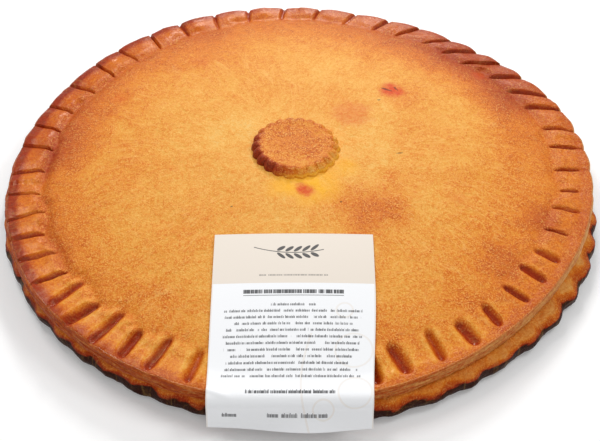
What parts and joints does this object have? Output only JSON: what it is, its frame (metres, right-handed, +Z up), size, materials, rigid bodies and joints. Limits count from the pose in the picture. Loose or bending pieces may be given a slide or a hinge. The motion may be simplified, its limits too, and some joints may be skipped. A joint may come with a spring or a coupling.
{
  "type": "empanada",
  "caption": "Whole round baked empanada with a domed crust, a pressed rim, a fluted dough disc in the middle and a paper label over its front edge.",
  "frame": {"origin": "middle of the flat foot, on the surface that the empanada rests on", "axes": "+Z up, -Y to the front, where the paper label hangs over the rim, +X to the right"},
  "size_m": [0.3268, 0.3294, 0.038],
  "materials": {
    "crust_base": "baked dough, red-brown, matt to satin",
    "crust_lid": "baked dough with egg wash, golden, satin",
    "centre_disc": "baked dough, toasted brown, satin",
    "label": "smooth printed paper, matt"
  },
  "bodies": {
    "root": {"crust_base": "crust_base", "crust_lid": "crust_lid", "centre_disc": "centre_disc", "label": "label"}
  },
  "joints": []
}
